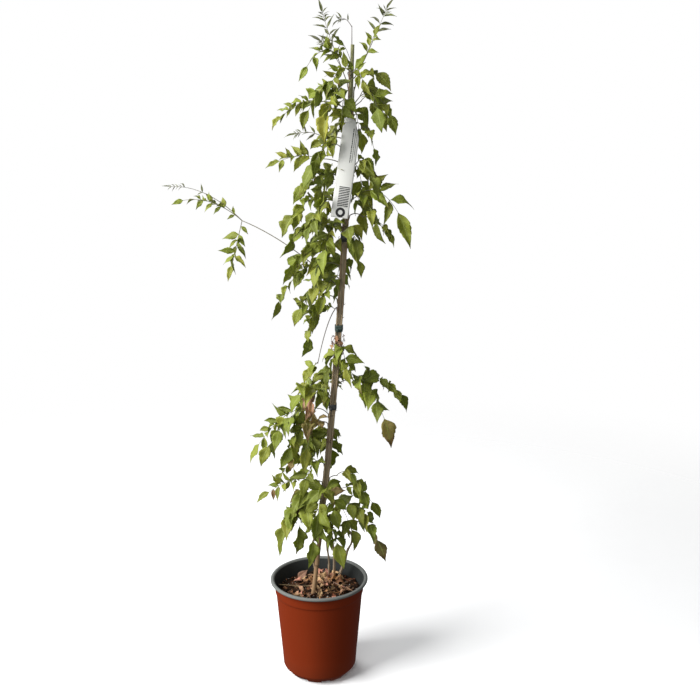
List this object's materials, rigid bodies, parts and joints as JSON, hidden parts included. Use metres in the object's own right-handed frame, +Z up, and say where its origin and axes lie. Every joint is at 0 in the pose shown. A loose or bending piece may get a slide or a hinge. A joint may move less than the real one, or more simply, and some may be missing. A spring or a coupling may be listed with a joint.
{
  "type": "potted rosea bower vine",
  "caption": "Young rosea bower vine with pinnate leaves, tied up a cane in a round terracotta-coloured plastic nursery pot.",
  "frame": {"origin": "centre of the pot's flat base, where it rests", "axes": "+Z up along the pot's axis and the plant, -Y toward the side the plant shows, +X to the right of it"},
  "size_m": [0.5313, 0.22, 1.4688],
  "materials": {
    "pot_plastic": "matt brick red outside, dark grey inside, grey lip",
    "tie_plastic": "dark soft plastic",
    "tag_plastic": "white, slightly glossy",
    "soil_mix": "rough bark and compost",
    "cane_wood": "matt weathered wood",
    "stem_bark": "matt bark",
    "leaf": "soft satin leaf"
  },
  "bodies": {
    "root": {"pot": "pot_plastic", "soil": "soil_mix", "cane": "cane_wood", "vine_a": "stem_bark", "vine_b": "stem_bark", "vine_c": "stem_bark", "vine_d": "stem_bark", "tie_lowest": "tie_plastic", "tie_low": "tie_plastic", "tie_middle": "tie_plastic", "tie_upper": "tie_plastic", "tie_top": "tie_plastic", "tag": "tag_plastic", "leaves_tip_left": "leaf", "leaves_tip_centre": "leaf", "leaves_tip_right": "leaf", "leaves_crown_left": "leaf", "leaves_crown_right": "leaf", "leaves_crown_front": "leaf", "leaves_upper_left": "leaf", "leaves_upper_right": "leaf", "leaves_outer_right": "leaf", "leaves_reach_left": "leaf", "leaves_young_left": "leaf", "leaves_inner_left": "leaf", "leaves_mid_left": "leaf", "leaves_pair_right": "leaf", "leaves_tag_right": "leaf", "leaves_broad_right": "leaf", "leaves_below_tag": "leaf", "leaves_drop_right": "leaf", "leaves_tag_left": "leaf", "leaves_left_a": "leaf", "leaves_left_b": "leaf", "leaves_left_c": "leaf", "leaves_left_d": "leaf", "leaves_left_e": "leaf", "leaves_strand": "leaf", "leaves_thread": "leaf", "leaves_long_arch": "leaf", "leaves_bead_right": "leaf", "leaves_knot_leaves": "leaf", "leaves_low_right_a": "leaf", "leaves_low_right_b": "leaf", "leaves_low_left_a": "leaf", "leaves_low_left_b": "leaf", "leaves_low_left_c": "leaf", "leaves_foot_right_a": "leaf", "leaves_foot_right_b": "leaf", "leaves_foot_right_c": "leaf", "leaves_foot_left_a": "leaf", "leaves_foot_left_b": "leaf", "leaves_foot_left_c": "leaf", "leaves_foot_front": "leaf", "leaves_foot_lowest": "leaf", "leaves_back_top": "leaf", "leaves_back_upper": "leaf", "leaves_back_middle": "leaf", "leaves_back_low": "leaf", "leaves_back_foot": "leaf"}
  },
  "joints": []
}
